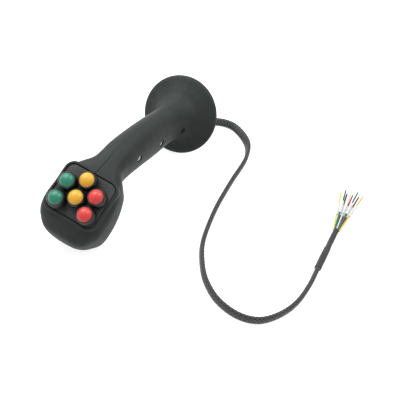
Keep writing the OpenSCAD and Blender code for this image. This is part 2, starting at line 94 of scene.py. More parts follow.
def piece(name, mesh):
    """A new object with this mesh, in the scene."""
    obj = bpy.data.objects.new(name, mesh)
    bpy.context.scene.collection.objects.link(obj)
    return obj


def from_bmesh(name, bm, sharp=35):
    """A new object from a bmesh, shaded smooth except at edges sharper than sharp degrees."""
    mesh = bpy.data.meshes.new(name)
    bmesh.ops.recalc_face_normals(bm, faces=bm.faces)
    bm.to_mesh(mesh)
    bm.free()
    mesh.shade_smooth()
    mesh.set_sharp_from_angle(angle=math.radians(sharp))
    return piece(name, mesh)


def from_rings(name, rings, closed=True, sharp=35):
    """A surface through rings of the same number of points; closed gives it its two end faces."""
    count = len(rings[0])
    points = [tuple(p) for ring in rings for p in ring]
    faces = [(i * count + j, i * count + (j + 1) % count,
              (i + 1) * count + (j + 1) % count, (i + 1) * count + j)
             for i in range(len(rings) - 1) for j in range(count)]
    if closed:
        last = (len(rings) - 1) * count
        faces.append(tuple(range(count - 1, -1, -1)))
        faces.append(tuple(range(last, last + count)))
    mesh = bpy.data.meshes.new(name)
    mesh.from_pydata(points, [], faces)
    bm = bmesh.new()
    bm.from_mesh(mesh)
    bpy.data.meshes.remove(mesh)
    return from_bmesh(name, bm, sharp)


def smooth_rows(rows, steps):
    """A Catmull-Rom run through rows of numbers, with this many steps from row to row."""
    rows = np.array(rows, float)
    last = len(rows) - 1
    out = []
    for i in range(last):
        a, b, c, d = (rows[min(max(k, 0), last)] for k in (i - 1, i, i + 1, i + 2))
        for t in np.arange(steps) / steps:
            out.append(0.5 * (2 * b + (c - a) * t + (2 * a - 5 * b + 4 * c - d) * t ** 2
                              + (3 * b - a - 3 * c + d) * t ** 3))
    return np.array(out + [rows[last]])


def apply_modifiers(obj):
    """Replaces the object's mesh by what its modifiers make of it."""
    graph = bpy.context.evaluated_depsgraph_get()
    mesh = bpy.data.meshes.new_from_object(obj.evaluated_get(graph))
    obj.modifiers.clear()
    obj.data = mesh


def finish_piece(obj, material, nodes):
    """Gives the piece its material and slot, and lets it stand for CAD nodes on their body."""
    obj.data.materials.clear()
    obj.data.materials.append(material)
    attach(obj, BODY_OF[nodes[0]])
    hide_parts(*nodes)


# ---- places from the frame ---------------------------------------------------------------------
def axes_frame(place, x, y, z):
    """The frame at a place with these three axes."""
    m = Matrix((x, y, z)).transposed().to_4x4()
    m.translation = place
    return m


# The upright frame stands in the middle of the flange's underside, with the flange's axis as its Z.
# The socket's mount gives both.
SOCKET = RECORD["mounts"][0]
SOCKET_MIDDLE = 9 * MM    # height of the mount above the flange's underside
RIGHT = Vector((1, 0, 0))
FLANGE_AXIS = -Vector(SOCKET["axis"]).normalized()
FLANGE_MIDDLE = Vector(SOCKET["pos_m"]) - FLANGE_AXIS * SOCKET_MIDDLE
UPRIGHT = axes_frame(FLANGE_MIDDLE, RIGHT, FLANGE_AXIS.cross(RIGHT), FLANGE_AXIS)

# The face plate's axes: +X to the right, +Y to the grip, +Z out of the plate.
PRESS = Vector(frame["joints"][0]["axis"]).normalized()
PLATE_AXES = (RIGHT, RIGHT.cross(PRESS).normalized(), -PRESS)


def extents(node):
    """Lowest and highest place of a CAD node along the three axes of the face plate."""
    points = np.array([v.co for v in NODES[node].data.vertices])
    along = points @ np.array(PLATE_AXES).T
    return along.min(0), along.max(0)


def islands(node):
    """The loose pieces of a CAD node, each as an array of its points."""
    bm = bmesh.new()
    bm.from_mesh(NODES[node].data)
    bmesh.ops.remove_doubles(bm, verts=bm.verts, dist=SNAP)
    found, groups = set(), []
    for first in bm.verts:
        if first in found:
            continue
        found.add(first)
        queue = [first]
        for vert in queue:
            near = {edge.other_vert(vert) for edge in vert.link_edges} - found
            found |= near
            queue += near
        groups.append(np.array([vert.co for vert in queue]))
    bm.free()
    return groups


def plate_frame(node):
    """The frame with the face plate's axes in the middle of a node's top."""
    low, high = extents(node)
    x, y, z = (low[0] + high[0]) / 2, (low[1] + high[1]) / 2, high[2]
    place = PLATE_AXES[0] * x + PLATE_AXES[1] * y + PLATE_AXES[2] * z
    return axes_frame(place, *PLATE_AXES)


# ---- materials ---------------------------------------------------------------------------------
NOISE_LUMP = 0.6          # width of a lump of noise at a scale of 1
COLOR_PATCH = 9 * MM
GLOSS_PATCH = 3 * MM
GLOSS_CHANGE = 0.05
DULL_SPOT = 2 * MM
SCRATCH_DEPTH = 0.01 * MM


class Nodes:
    """Short calls for building a node tree."""

    def __init__(self, name):
        self.material = bpy.data.materials.new(name)
        self.material.use_nodes = True
        self.tree = self.material.node_tree
        self.shader = self.tree.nodes["Principled BSDF"]
        self.place = self.add("ShaderNodeTexCoord").outputs["Object"]

    def add(self, kind, **settings):
        node = self.tree.nodes.new(kind)
        for key, value in settings.items():
            setattr(node, key, value)
        return node

    def link(self, a, b):
        self.tree.links.new(a, b)

    def set(self, **values):
        """Sets the shader's own sockets; an underscore stands for a space in a socket's name."""
        for key, value in values.items():
            self.shader.inputs[key.replace("_", " ")].default_value = value

    def noise(self, size, detail=2.0):
        """Noise whose lumps are about this large, in metres."""
        node = self.add("ShaderNodeTexNoise")
        node.inputs["Scale"].default_value = NOISE_LUMP / size
        node.inputs["Detail"].default_value = detail
        self.link(self.place, node.inputs["Vector"])
        return node.outputs["Fac"]

    def spread(self, value, low, high, start=0.3, end=0.7):
        """Takes a value from start..end to low..high."""
        node = self.add("ShaderNodeMapRange")
        for key, number in (("From Min", start), ("From Max", end), ("To Min", low), ("To Max", high)):
            node.inputs[key].default_value = number
        self.link(value, node.inputs["Value"])
        return node.outputs["Result"]

    def color(self, value, a, b, start=0.3, end=0.7):
        """Colours the surface from a, where the value is start, to b, where it is end."""
        share = self.spread(value, 0, 1, start, end)
        node = self.add("ShaderNodeMix", data_type="RGBA")
        self.link(share, node.inputs["Factor"])
        node.inputs["A"].default_value = a
        node.inputs["B"].default_value = b
        self.link(node.outputs["Result"], self.shader.inputs["Base Color"])

    def roughness(self, value, low, high):
        """Lets the surface's roughness follow a value, from low to high."""
        self.link(self.spread(value, low, high), self.shader.inputs["Roughness"])

    def bump(self, height, depth):
        """Bump from a height of 0..1 that stands for this depth in metres."""
        node = self.add("ShaderNodeBump")
        node.inputs["Distance"].default_value = depth
        self.link(height, node.inputs["Height"])
        self.link(node.outputs["Normal"], self.shader.inputs["Normal"])


def shade(color, factor):
    """The colour, darker or brighter by a factor."""
    return tuple(c * factor for c in color[:3]) + (1,)


def plastic(name, color, roughness, specular=0.3, grain=0.35 * MM, depth=0.02 * MM, mottle=0.12):
    """Moulded plastic: a fine grain, and a slow change of colour and gloss."""
    n = Nodes(name)
    n.color(n.noise(COLOR_PATCH, detail=4), shade(color, 1 - mottle), shade(color, 1 + mottle))
    n.roughness(n.noise(GLOSS_PATCH, detail=3), roughness - GLOSS_CHANGE, roughness + GLOSS_CHANGE)
    n.set(Specular_IOR_Level=specular)
    n.bump(n.noise(grain, detail=3), depth)
    return n.material


def metal(name, color, roughness, brushed=0.5 * MM, metallic=1.0):
    """Plated metal with fine scratches and dull spots."""
    n = Nodes(name)
    n.set(Metallic=metallic)
    n.color(n.noise(DULL_SPOT, detail=4), shade(color, 0.85), color)
    n.roughness(n.noise(brushed, detail=4), roughness - 0.08, roughness + 0.1)
    n.bump(n.noise(brushed, detail=5), SCRATCH_DEPTH)
    return n.material


def cap_plastic(name, color):
    """Glossy coloured cap, a little soft with light."""
    n = Nodes(name)
    n.color(n.noise(4 * MM), shade(color, 0.93), shade(color, 1.05))
    n.roughness(n.noise(2 * MM, detail=3), 0.32, 0.38)
    n.set(Specular_IOR_Level=0.6, Subsurface_Weight=0.08, Subsurface_Scale=1 * MM)
    n.bump(n.noise(0.5 * MM), 0.004 * MM)
    return n.material


def braid_with_painted_sheen():
    """Black braid with a painted sheen: the crests of the strands are painted paler than the gaps between them, as
    painted highlight on the crests and painted shade in the gaps.
    """
    n = Nodes("braided_sleeve")
    crest = n.add("ShaderNodeAttribute", attribute_name="crest").outputs["Fac"]
    # painted sheen: the weave's crests are painted pale and its gaps dark, standing in for highlight and shade on
    # the black strands
    n.color(crest, linear(26, 28, 28), linear(82, 85, 84), start=0.55, end=0.95)
    n.roughness(n.noise(2 * MM), 0.4, 0.55)
    n.set(Specular_IOR_Level=0.4)
    n.bump(n.noise(0.15 * MM), 0.02 * MM)
    return n.material


HOUSING = plastic("housing_plastic", linear(53, 57, 56), 0.52, specular=0.15, grain=0.4 * MM, depth=0.03 * MM)
PLATE = plastic("plate_plastic", linear(60, 63, 63), 0.55, grain=0.3 * MM)
COLLAR = plastic("collar_plastic", linear(27, 27, 28), 0.35, specular=0.4, depth=0.006 * MM)
SEAL = plastic("seal_rubber", linear(66, 68, 67), 0.5, grain=0.2 * MM)
RUBBER = plastic("grommet_rubber", linear(38, 39, 39), 0.7, grain=0.25 * MM)
COVER = plastic("cover_plastic", linear(46, 49, 48), 0.6, grain=0.6 * MM, depth=0.04 * MM)
# Zinc for the screws and nuts: its near-white base colour with little metallic is partly the plating's own pale
# colour and partly a painted glint, the shine of the screw heads painted in as a pale diffuse colour.
ZINC_PAINTED_GLINT = metal("zinc", linear(245, 246, 245), 0.35, metallic=0.25)
SPRING_STEEL = metal("spring_steel", linear(190, 192, 195), 0.3)
BRASS = metal("terminal_brass", linear(214, 178, 98), 0.3)
SOCKET_STEEL = metal("socket_steel", linear(176, 178, 180), 0.35)
TINNED = metal("tinned_copper", linear(222, 205, 178), 0.35, brushed=0.2 * MM)
JACKET = plastic("jacket_plastic", linear(40, 41, 42), 0.5)
SHRINK = plastic("shrink_tube", linear(62, 64, 64), 0.5, grain=0.7 * MM, depth=0.05 * MM)
MARKER = plastic("marker_sleeve", linear(238, 239, 236), 0.4, specular=0.4, depth=0.01 * MM, mottle=0.03)
CAPS = {"green": cap_plastic("cap_green", linear(14, 132, 104)),
        "yellow": cap_plastic("cap_yellow", linear(248, 188, 42)),
        "red": cap_plastic("cap_red", linear(232, 62, 57))}
BRAID = braid_with_painted_sheen()


# ---- cable -------------------------------------------------------------------------------------
# Route of the braided sleeve: [x, y, z, turn of its flat side in degrees]
SLEEVE_ROUTE = [
    [0, 0.0795, 0.023, 0], [0, 0.09, 0.018, 0], [0.001, 0.102, 0.012, 0], [0.005, 0.115, 0.007, -15],
    [0.013, 0.129, 0.0042, -35], [0.025, 0.139, 0.0038, -45], [0.037, 0.142, 0.0038, -45],
    [0.049, 0.138, 0.0039, -50], [0.06, 0.13, 0.0041, -60], [0.067, 0.12, 0.0043, -75],
    [0.072, 0.105, 0.0044, -90], [0.074, 0.087, 0.0044, -90], [0.075, 0.071, 0.0044, -90],
    [0.077, 0.051, 0.0044, -90], [0.08, 0.027, 0.0044, -90], [0.085, 0.002, 0.0044, -90],
    [0.091, -0.019, 0.0044, -90], [0.1, -0.036, 0.0044, -90], [0.112, -0.051, 0.0044, -90],
    [0.129, -0.062, 0.0044, -90], [0.149, -0.065, 0.0044, -90], [0.166, -0.059, 0.0044, -90],
    [0.178, -0.044, 0.0044, -90], [0.1855, -0.024, 0.0044, -90], [0.1878, 0, 0.0044, -90],
    [0.187, 0.022, 0.0044, -90]]
SHRINK_1_ROUTE = [[0.187, 0.022, 0.0044, -90], [0.1865, 0.0355, 0.004, -90], [0.186, 0.049, 0.004, -90]]
SHRINK_2_ROUTE = [[0.186, 0.049, 0.004, -90], [0.1855, 0.0625, 0.004, -90], [0.185, 0.076, 0.004, -90]]

# Width and thickness of the flat sections
SLEEVE_SIZE = (8.5 * MM, 4.25 * MM)
SHRINK_1_SIZE = (7.8 * MM, 6.2 * MM)
SHRINK_2_SIZE = (6.8 * MM, 5.3 * MM)
SECTION_POWER = 0.8       # 1 is an ellipse, and less is squarer

BRAID_CELLS = 12          # strands around the sleeve, half of them in each direction
BRAID_SAMPLES = 4         # mesh points per strand, around the sleeve and along it
BRAID_DEPTH = 0.28 * MM
STRAND_FLAT = 0.45        # 1 is a round crest, and less is flatter across the strand
STRAND_DIP = 0.55         # how far a crest sinks towards its ends, as a share of its height
DIP_FLAT = 0.8

ROUTE_STEPS = 40          # steps between two points of a route, where its length is measured
TUBE_SIDES = 32
TUBE_STEP = 0.6 * MM
TUBE_ROUNDING = 0.5 * MM
TUBE_TAPER = 0.12         # how much thinner a tube is at its very end
# Height as a share of the radius, phase along the whole tube, phase per angle around it, first phase
SHRINK_WAVES = [(0.018, 9, 2, 0), (0.012, 23, -1, 1)]


def even_path(route, step):
    """Points of the smooth route, one every step metres, and the route's length."""
    dense = smooth_rows(route, ROUTE_STEPS)
    lengths = np.concatenate([[0], np.cumsum(np.linalg.norm(np.diff(dense[:, :3], axis=0), axis=1))])
    places = np.linspace(0, lengths[-1], max(2, int(round(lengths[-1] / step)) + 1))
    return np.stack([np.interp(places, lengths, dense[:, k]) for k in range(dense.shape[1])], 1), lengths[-1]


def path_frames(path):
    """For each point of a path: its place, and the directions across and up, turned by its fourth number."""
    places = path[:, :3]
    tangents = np.gradient(places, axis=0)
    tangents /= np.linalg.norm(tangents, axis=1)[:, None]
    side = np.cross(tangents, [0, 0, 1])
    side /= np.linalg.norm(side, axis=1)[:, None]
    up = np.cross(side, tangents)
    turn = np.radians(path[:, 3] if path.shape[1] > 3 else np.zeros(len(path)))[:, None]
    return places, side * np.cos(turn) + up * np.sin(turn), up * np.cos(turn) - side * np.sin(turn)


def flat_ring(angle, width, thickness):
    """The point at an angle of a flat section with rounded sides: how far across and how far up."""
    c, s = math.cos(angle), math.sin(angle)
    return (width / 2 * math.copysign(abs(c) ** SECTION_POWER, c),
            thickness / 2 * math.copysign(abs(s) ** SECTION_POWER, s))


def braid_height(around, along):
    """Height of the woven surface from 0 to 1; around and along count strands of one direction."""
    a, b = along + around, along - around
    first_is_over = (math.floor(a) + math.floor(b)) % 2 == 0
    width_a, width_b = math.sin(math.pi * (a % 1)), math.sin(math.pi * (b % 1))
    over, under = (width_a, width_b) if first_is_over else (width_b, width_a)
    return max(over, 0) ** STRAND_FLAT * (1 - STRAND_DIP + STRAND_DIP * max(under, 0) ** DIP_FLAT)


def make_braid(name):
    """The braided sleeve as a mesh with woven strands, the path that it follows and its length."""
    width, thickness = SLEEVE_SIZE
    perimeter = 2 * (width - thickness) + math.pi * thickness
    cell = perimeter / BRAID_CELLS
    path, length = even_path(SLEEVE_ROUTE, cell / BRAID_SAMPLES)
    places, across, up = path_frames(path)
    count = BRAID_CELLS * BRAID_SAMPLES
    section = [flat_ring(2 * math.pi * j / count, width, thickness) for j in range(count)]
    rings, crests = [], []
    for i in range(len(path)):
        ring = []
        for j in range(count):
            x, y = section[j]
            height = braid_height(j / BRAID_SAMPLES / 2, i / BRAID_SAMPLES / 2)
            share = 1 - BRAID_DEPTH * (1 - height) / math.hypot(x, y)
            ring.append(places[i] + across[i] * (x * share) + up[i] * (y * share))
            crests.append(height)
        rings.append(ring)
    obj = from_rings(name, rings, sharp=80)
    # the weave's height, which the braid's material turns into a painted highlight on the crests and painted shade
    # in the gaps
    obj.data.attributes.new("crest", "FLOAT", "POINT").data.foreach_set("value", crests)
    return obj, places, length


def shrink_swell(share, angle):
    """Uneven surface of a shrunk tube, at a share of its length and an angle around it."""
    return sum(height * math.sin(along * share + around * angle + start)
               for height, along, around, start in SHRINK_WAVES)


def make_shrink_tube(name, route, size):
    """A length of shrink tube with softly rounded ends."""
    path, length = even_path(route, TUBE_STEP)
    places, across, up = path_frames(path)
    rings = []
    for i in range(len(path)):
        at = i * length / (len(path) - 1)
        edge = min(1, min(at, length - at) / TUBE_ROUNDING)
        trim = 1 - (1 - math.sqrt(1 - (1 - edge) ** 2)) * TUBE_TAPER
        ring = []
        for j in range(TUBE_SIDES):
            angle = 2 * math.pi * j / TUBE_SIDES
            x, y = flat_ring(angle, *size)
            grow = trim * (1 + shrink_swell(at / length, angle))
            ring.append(places[i] + across[i] * x * grow + up[i] * y * grow)
        rings.append(ring)
    return from_rings(name, rings, sharp=40)


braid, braid_path, braid_length = make_braid("braided_sleeve")
finish_piece(braid, BRAID, ["cable_sleeve"])
shrink_1 = make_shrink_tube("shrink_tube_1", SHRINK_1_ROUTE, SHRINK_1_SIZE)
finish_piece(shrink_1, SHRINK, ["cable_shrink_1"])
shrink_2 = make_shrink_tube("shrink_tube_2", SHRINK_2_ROUTE, SHRINK_2_SIZE)
finish_piece(shrink_2, SHRINK, ["cable_shrink_2"])


# ---- leads -------------------------------------------------------------------------------------
# Each lead starts in the second shrink tube and fans out over the bench:
# [start across, start height, end x, end y]
LEAD_FAN = [[-0.00235, 0.003, 0.171, 0.131], [-0.0017, 0.005, 0.174, 0.138], [-0.00085, 0.0026, 0.177, 0.133],
            [-0.00025, 0.005, 0.1795, 0.141], [0.00065, 0.003, 0.1825, 0.135], [0.0012, 0.005, 0.1855, 0.143],
            [0.0021, 0.0028, 0.1885, 0.137], [0.00265, 0.0046, 0.192, 0.141]]
LEADS = {"yellow": linear(240, 220, 96), "green": linear(20, 112, 92), "black": linear(34, 33, 33),
         "white": linear(226, 226, 222), "red": linear(196, 36, 48), "blue": linear(30, 112, 128),
         "brown": linear(112, 58, 40), "orange": linear(240, 200, 70)}
LEAD_START = (0.185, 0.0764)
LEAD_D = 1.6 * MM
LEAD_SINK = (0.15, 0.3 * MM)        # share of its way at which a lead has sunk, and how far
LEAD_STEPS = 10
TIP_SHARE = 0.85                    # a solid tube's radius at its ends, as a share of the rest

MARKER_D = 2.6 * MM
MARKER_SPAN = (0.4, 0.68)           # the marker sleeve's ends, as shares of the lead's way
MARKER_OVER = (0.0036, 0.0032)      # heights there of every second lead, which passes over its neighbours
MARKER_ROWS = (2, 3)
MARKER_LIFT = 0.1 * MM
MARKER_LIP = 0.12 * MM
MARKER_PLAY = 0.05 * MM

END_ROW = 4
END_L = 6 * MM
STRANDS = 4
STRAND_D = 0.9 * MM                 # the bare end across all its strands
STRAND_TURNS = 2.5
STRAND_STEPS = 3
STRAND_SHIFT = 0.27                 # a strand's distance from the middle and its radius, as shares
STRAND_RADIUS = 0.23                # of STRAND_D
STRAND_SNAP = 1e-7                  # SNAP for these thin pieces


def lead_rows(index):
    """The route of a lead: MARKER_ROWS are its marker sleeve's ends, and its bare end starts at END_ROW."""
    across, height, x, y = LEAD_FAN[index]
    low = MARKER_D / 2 + MARKER_LIFT
    over = MARKER_OVER if index % 2 else (low, low)
    start = np.array([LEAD_START[0] + across, LEAD_START[1]])
    way = np.array([x, y]) - start

    def at(share, z):
        return [*(start + way * share), z]
    return [at(0, height), at(LEAD_SINK[0], height - LEAD_SINK[1]),
            at(MARKER_SPAN[0], over[0]), at(MARKER_SPAN[1], over[1]),
            at(1, low), at(1 + END_L / np.linalg.norm(way), low)]


def round_tube(path, radius, sides=12, inner=None):
    """The rings of a round tube along a path; with inner it is a hollow sleeve."""
    places, across, up = path_frames(path)
    last = len(path) - 1

    def ring(i, r):
        angles = [2 * math.pi * j / sides for j in range(sides)]
        return [places[i] + across[i] * (r * math.cos(a)) + up[i] * (r * math.sin(a)) for a in angles]

    outside = [ring(i, radius) for i in range(1, last)]
    if inner is None:
        return [ring(0, radius * TIP_SHARE), *outside, ring(last, radius * TIP_SHARE)]
    lip = radius - MARKER_LIP
    inside = [ring(i, inner) for i in range(last - 1, 0, -1)]
    return [ring(0, inner), ring(0, lip), *outside,
            ring(last, lip), ring(last, inner), *inside, ring(0, inner)]


def join_rings(name, groups, closed=True, sharp=50):
    """One object of several solids, each from its own rings."""
    parts = [from_rings(name + str(i), rings, closed, sharp) for i, rings in enumerate(groups)]
    bm = bmesh.new()
    for part in parts:
        bm.from_mesh(part.data)
        bpy.data.objects.remove(part)
    bmesh.ops.remove_doubles(bm, verts=bm.verts, dist=STRAND_SNAP)
    return from_bmesh(name, bm, sharp)


def strand_rings(path, index):
    """One thin wire of a bare end, twisted around the end's path."""
    places, across, up = path_frames(path)
    twist = np.linspace(0, 2 * math.pi * STRAND_TURNS, len(path)) + 2 * math.pi * index / STRANDS
    shift = across * np.cos(twist)[:, None] + up * np.sin(twist)[:, None]
    wire = np.concatenate([places + shift * STRAND_D * STRAND_SHIFT, np.zeros((len(path), 1))], 1)
    return round_tube(wire, STRAND_D * STRAND_RADIUS, sides=6)


def make_leads():
    """The coloured leads, their marker sleeves as one object and their bare ends as another."""
    markers, ends = [], []
    for index, (color, tint) in enumerate(LEADS.items()):
        path = smooth_rows(lead_rows(index), LEAD_STEPS)
        insulated = path[:END_ROW * LEAD_STEPS + 1]
        obj = from_rings("lead_" + color + "_wire", round_tube(insulated, LEAD_D / 2), sharp=50)
        finish_piece(obj, plastic("wire_" + color, tint, 0.4, specular=0.4, depth=0.006 * MM, mottle=0.06),
                     ["lead_" + color])
        marker = path[MARKER_ROWS[0] * LEAD_STEPS:MARKER_ROWS[1] * LEAD_STEPS + 1]
        markers.append(round_tube(marker, MARKER_D / 2, sides=16, inner=LEAD_D / 2 + MARKER_PLAY))
        bare = smooth_rows(path[END_ROW * LEAD_STEPS - 1:], STRAND_STEPS)
        ends += [strand_rings(bare, k) for k in range(STRANDS)]
    sleeves = join_rings("marker_sleeves", markers, closed=False)
    finish_piece(sleeves, MARKER, ["lead_markers"])
    tips = join_rings("bare_ends", ends)
    finish_piece(tips, TINNED, ["lead_ends"])
    return sleeves, tips


marker_sleeves, bare_ends = make_leads()


# ---- moulded body: its centre line and sections --------------------------------------------------
# Millimetres, in the upright frame: the same rules as the shells' CAD solids, in finer steps, with a
# longer and squarer chin and a deeper front of the shaft.
FLANGE_R = 38
FLANGE_T = 2.5
GRIP_HALF = 14.5
GRIP_DEPTH = 18.5
GRIP_LEN = 124
LEAN = 15
BEND_TURN = 43
BEND_R = 50
HEAD_HALF = 29.5
HEAD_BACK = 14
HEAD_FRONT = 32
HEAD_END = GRIP_LEN + 73
HEAD_NOSE = 41
HEAD_RUN = 110            # longer than the centre line goes on past the bend
WALL = 2.6
ROOT_R = GRIP_HALF + 1.5
ROOT_SHIFT = 3.5
ROOT_BLEND = (4, 20)      # the centre line shifts by ROOT_SHIFT between these lengths
BASE_START = 6
BASE_ARC = 16
GRIP_RUN = GRIP_LEN - BEND_R * math.tan(math.radians(BEND_TURN / 2)) - BASE_START - BASE_ARC
SPINE = [(BASE_START, 0), (BASE_ARC, LEAN), (GRIP_RUN, 0),
         (math.radians(BEND_TURN) * BEND_R, BEND_TURN), (HEAD_RUN, 0)]    # length, turn in degrees
# Height over the flange, share of the way from the root's radius to the flange's
FLARE = [(1.7, 0.955), (3, 0.84), (5.5, 0.5), (9.5, 0.2)]
CAVITY_START = 9
CAVITY_END = HEAD_END - 6
BODY_STEPS = 10
RING_STEPS = 72


def spine(s):
    """[y, z, lean] of the centre line at the length s from the flange's underside."""
    y, z, lean, left = 0.0, 0.0, 0.0, s
    for length, turn in SPINE:
        part = min(left, length)
        bend = math.radians(turn * part / length)
        if turn:
            radius = length / math.radians(turn)
            y += radius * (math.cos(lean + bend) - math.cos(lean))
            z += radius * (math.sin(lean + bend) - math.sin(lean))
        else:
            y -= part * math.sin(lean)
            z += part * math.cos(lean)
        lean += bend
        left -= part
        if left <= 0:
            break
    k = min(1, max(0, (s - ROOT_BLEND[0]) / (ROOT_BLEND[1] - ROOT_BLEND[0])))
    return y - ROOT_SHIFT * k, z, lean


def body_stations():
    """Rows: place, half width, depth behind and in front, squareness behind and in front, shift forward."""
    rows = [(0, FLANGE_R, FLANGE_R, FLANGE_R, 2, 2, 0), (FLANGE_T, FLANGE_R, FLANGE_R, FLANGE_R, 2, 2, 0)]
    for up, share in FLARE:
        r = ROOT_R + 1 + (FLANGE_R - ROOT_R - 1) * share
        rows.append((FLANGE_T + up, r, r, r, 2, 2, 0))
    g, h, e = GRIP_LEN, HEAD_HALF, HEAD_END
    rows += [(20, ROOT_R, GRIP_DEPTH - 0.5, GRIP_DEPTH - 0.5, 2.1, 2.1, 0),
             (0.32 * g, GRIP_HALF, GRIP_DEPTH, GRIP_DEPTH - 0.7, 2.2, 2.2, 0),
             (0.5 * g, GRIP_HALF, GRIP_DEPTH + 0.5, GRIP_DEPTH + 2.2, 2.2, 2.2, 0),
             (0.73 * g, GRIP_HALF, GRIP_DEPTH - 1.5, GRIP_DEPTH + 3.2, 2.2, 2.2, 0),
             (g - 16, GRIP_HALF - 0.5, GRIP_DEPTH - 4.5, GRIP_DEPTH + 5.7, 2.3, 2.2, 0),
             (g - 6, GRIP_HALF - 1, HEAD_BACK - 2, HEAD_FRONT - 6, 2.5, 2.2, 0),
             (g + 2, GRIP_HALF, HEAD_BACK - 3, HEAD_FRONT - 4.5, 2.8, 2.2, 0),
             (g + 10, h - 9, HEAD_BACK - 1.5, HEAD_FRONT - 3.5, 3, 2.2, 0),
             (g + 18, h - 4, HEAD_BACK - 0.5, HEAD_FRONT - 4, 4, 2.2, 0),
             (e - HEAD_NOSE, h - 1, HEAD_BACK, HEAD_FRONT - 2.5, 4, 2.8, 0),
             (e - 26, h, HEAD_BACK, HEAD_FRONT, 4, 2.8, 0),
             (e - 15, h - 1.8, HEAD_BACK - 1, HEAD_FRONT - 1, 3.2, 3.1, 0),
             (e - 8, h - 6.5, HEAD_BACK - 4, HEAD_FRONT - 6, 2.7, 3.2, 0),
             (e - 3.5, h - 11.5, HEAD_BACK - 6, HEAD_FRONT - 11.2, 2.5, 3.2, 1),
             (e - 1.2, h - 16.5, HEAD_BACK - 9, HEAD_FRONT - 16.7, 2.2, 2.8, 3),
             (e - 0.3, h - 21.5, HEAD_BACK - 11, HEAD_FRONT - 23, 2, 2.2, 5),
             (e, h - 26.5, HEAD_BACK - 12.5, HEAD_FRONT - 28, 2, 2, 6)]
    return rows


def body_ring(row, inset=0.0):
    """The whole section of one station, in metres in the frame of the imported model."""
    y, z, lean = spine(row[0])
    ring = []
    for i in range(2 * RING_STEPS):
        t = math.pi * i / RING_STEPS
        c, s = math.cos(t), math.sin(t)
        e = 2 / (row[4] if s > 0 else row[5])
        depth = (row[2] if s > 0 else row[3]) - inset
        x = (row[1] - inset) * math.copysign(abs(c) ** e, c)
        d = depth * math.copysign(abs(s) ** e, s) - row[6]
        ring.append(UPRIGHT @ (Vector((x, y + d * math.cos(lean), z + d * math.sin(lean))) * MM))
    return ring


def skin(name, start, end, inset=0.0):
    """Closed solid of the moulded body between two places on the centre line."""
    rows = [r for r in smooth_rows(body_stations(), BODY_STEPS) if start < r[0] < end]
    first = [start] + list(rows[0][1:])
    last = [end] + list(rows[-1][1:])
    return from_rings(name, [body_ring(r, inset) for r in [first, *rows, last]])


# ---- moulded body: its pocket, holes and groove --------------------------------------------------
# The face plate's pocket and its raised rim, from the plate's own size
PLATE_TOP = plate_frame("face_plate")
PLATE_TOP_INVERSE = PLATE_TOP.inverted()
PLATE_LOW, PLATE_HIGH = extents("face_plate")
PLATE_W, PLATE_L, PLATE_T = PLATE_HIGH - PLATE_LOW
PLATE_R = 6 * MM
PLATE_GAP = 0.7 * MM
CORNER_STEPS = 12
RIM_RISE = 0.8 * MM       # how far the rim stands above the plate
RIM_W = 3 * MM
RIM_DEPTH = 9 * MM
RIM_EDGE = 0.8 * MM
POCKET_EDGE = 0.35 * MM
POCKET_REACH = 5 * MM
LEDGE = 1.2 * MM
WELL_DEPTH = 8 * MM
OVERCUT = 1 * MM          # how far a cutter goes on past the face that it opens

COVER_SEAT_R = 34.25 * MM
COVER_SEAT_H = 2.1 * MM
COVER_SEAT_SIDES = 128
CHANNEL_R = 17 * MM
CHANNEL_H = 10 * MM
CHANNEL_SIDES = 96
SCREW_SEAT = 11.3 * MM    # of the screw's head, from the parting plane
SCREW_HOLE_R = 3.3 * MM
SCREW_HOLE_L = 9 * MM
SCREW_SHANK_R = 1.6 * MM
SCREW_SHANK_END = 2 * MM - SCREW_SEAT     # in the other shell
SCREW_BOSS_R = 4.6 * MM
SCREW_BOSS_H = 12.2 * MM  # on each side of the parting plane

VOXEL = 0.5 * MM
FAIRING = 6
GROOVE_HALF = 0.6 * MM
GROOVE_DEPTH = 0.7 * MM
GROOVE_LENGTH = 24 * MM
PARTING_GAP = 0.05 * MM   # from each shell to the parting plane
SPINE_POINTS = [UPRIGHT @ (Vector((0, *spine(k)[:2])) * MM) for k in range(int(HEAD_END))]


def rounded_outline(w, l, r):
    """Points of a rectangle with round corners."""
    points = []
    for k, (sx, sy) in enumerate(((1, 1), (-1, 1), (-1, -1), (1, -1))):
        for i in range(CORNER_STEPS + 1):
            a = math.pi / 2 * (k + i / CORNER_STEPS)
            points.append((sx * (w / 2 - r) + r * math.cos(a), sy * (l / 2 - r) + r * math.sin(a)))
    return points


def plate_block(name, layers):
    """Solid on the plate frame through layers of (height, margin around the plate)."""
    rings = []
    for z, margin in layers:
        outline = rounded_outline(PLATE_W + 2 * margin, PLATE_L + 2 * margin, PLATE_R + margin)
        rings.append([PLATE_TOP @ Vector((x, y, z)) for x, y in outline])
    return from_rings(name, rings)


def cylinder(name, matrix, radius, low, high, sides=64):
    """Solid cylinder along the Z of a frame."""
    rings = [[matrix @ Vector((radius * math.cos(2 * math.pi * j / sides),
                               radius * math.sin(2 * math.pi * j / sides), z)) for j in range(sides)]
             for z in (low, high)]
    return from_rings(name, rings)


def combine(obj, other, operation="DIFFERENCE"):
    """Cuts the other solid out of the object, or joins it on, and removes the other."""
    modifier = obj.modifiers.new("combine", "BOOLEAN")
    modifier.operation = operation
    modifier.solver = "MANIFOLD"
    modifier.object = other
    bpy.context.view_layer.update()
    apply_modifiers(obj)
    bpy.data.objects.remove(other)


